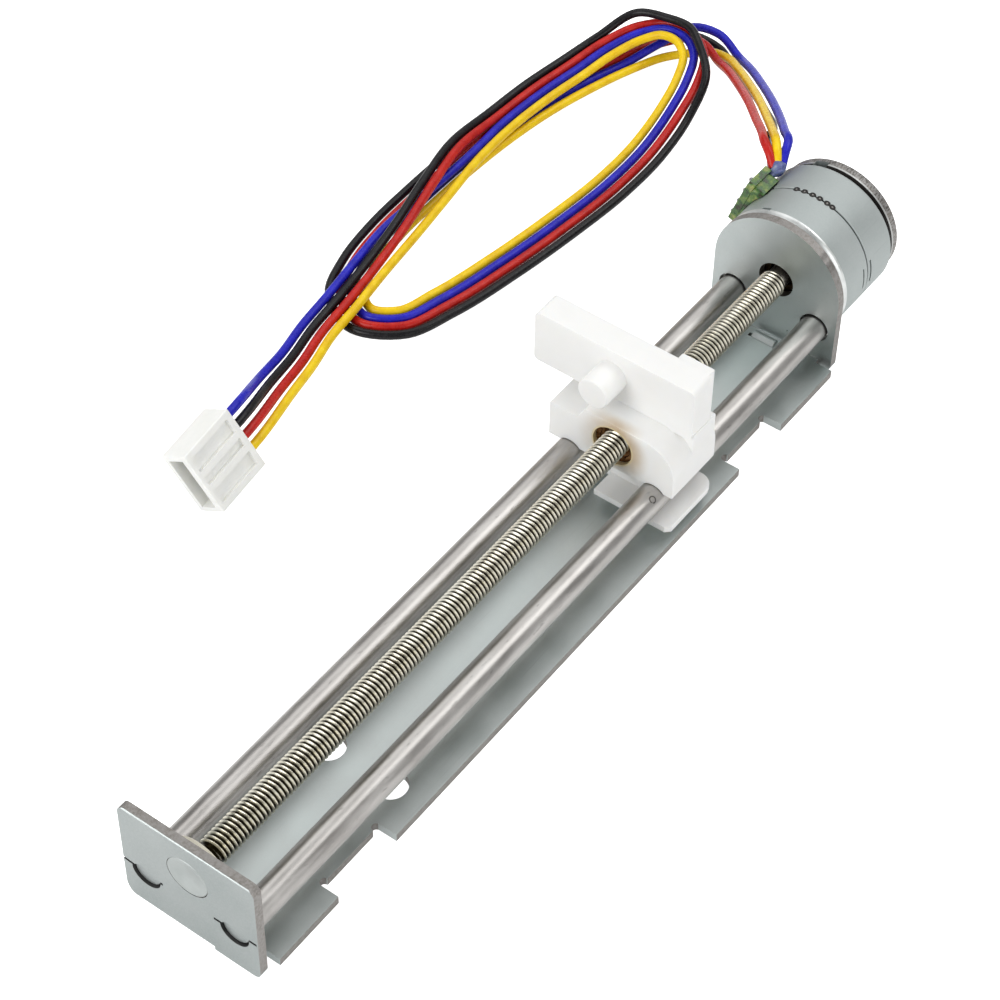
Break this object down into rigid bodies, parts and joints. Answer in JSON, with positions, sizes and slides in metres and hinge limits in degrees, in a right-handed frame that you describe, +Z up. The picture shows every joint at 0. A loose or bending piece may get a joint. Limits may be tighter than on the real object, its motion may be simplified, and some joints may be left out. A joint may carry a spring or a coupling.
{
  "type": "stepper motor linear slide",
  "caption": "Miniature linear slide: a small stepper motor turns a lead screw that moves a plastic slider along two rods in a sheet steel frame, with wires and a plug.",
  "frame": {"origin": "on the underside of the base, in its middle, below the lead screw", "axes": "+X along the lead screw from the front plate to the motor, +Y to the left seen from the front plate, +Z up from the base"},
  "size_m": [0.1307, 0.0534, 0.0182],
  "materials": {
    "zinc_steel": "zinc-plated pressed sheet",
    "ground_steel": "ground and polished",
    "nickel_brass": "nickel-washed, lightly greased",
    "brass": "turned",
    "white_acetal": "moulded, slightly translucent",
    "cream_plastic": "moulded",
    "black_plastic": "moulded",
    "copper": "enamelled winding",
    "sintered_bronze": "oiled sintered bush",
    "ferrite": "sintered",
    "board_green": "solder-masked board",
    "tin": "tinned",
    "spring_steel": "rolled",
    "blue_pvc": "wire insulation",
    "black_pvc": "wire insulation",
    "red_pvc": "wire insulation",
    "yellow_pvc": "wire insulation",
    "white_nylon": "moulded"
  },
  "bodies": {
    "frame": {"base_frame": "zinc_steel", "guide_rod_left": "ground_steel", "guide_rod_right": "ground_steel", "end_bearing": "cream_plastic", "motor_cup_front": "zinc_steel", "motor_cup_rear": "zinc_steel", "pole_plate_front": "zinc_steel", "pole_plate_rear": "zinc_steel", "bobbin_front": "cream_plastic", "bobbin_rear": "cream_plastic", "coil_front": "copper", "coil_rear": "copper", "front_bush": "sintered_bronze", "rear_bush": "sintered_bronze", "rear_cover": "zinc_steel", "thrust_spring": "spring_steel", "terminal_block": "cream_plastic", "terminal_board": "board_green", "terminal_pin_1": "tin", "terminal_pin_2": "tin", "terminal_pin_3": "tin", "terminal_pin_4": "tin", "wire_blue": "blue_pvc", "wire_black": "black_pvc", "wire_red": "red_pvc", "wire_yellow": "yellow_pvc", "connector_housing": "white_nylon", "connector_contact_1": "tin", "connector_contact_2": "tin", "connector_contact_3": "tin", "connector_contact_4": "tin"},
    "rotor": {"lead_screw": "nickel_brass", "rotor_hub": "black_plastic", "rotor_magnet": "ferrite"},
    "slider": {"slider_body": "white_acetal", "brass_nut": "brass"}
  },
  "joints": [
    {"name": "screw_spin", "type": "hinge", "parent": "frame", "child": "rotor", "pos_m": [0, 0, 0.009], "axis": [-1, 0, 0], "range_deg": [-42488, 15128]},
    {"name": "slider_travel", "type": "slide", "parent": "frame", "child": "slider", "axis": [1, 0, 0], "range_m": [-0.059, 0.021]}
  ],
  "couplings": [
    {"joint": "screw_spin", "follows": "slider_travel", "rad_per_m": 12566}
  ]
}
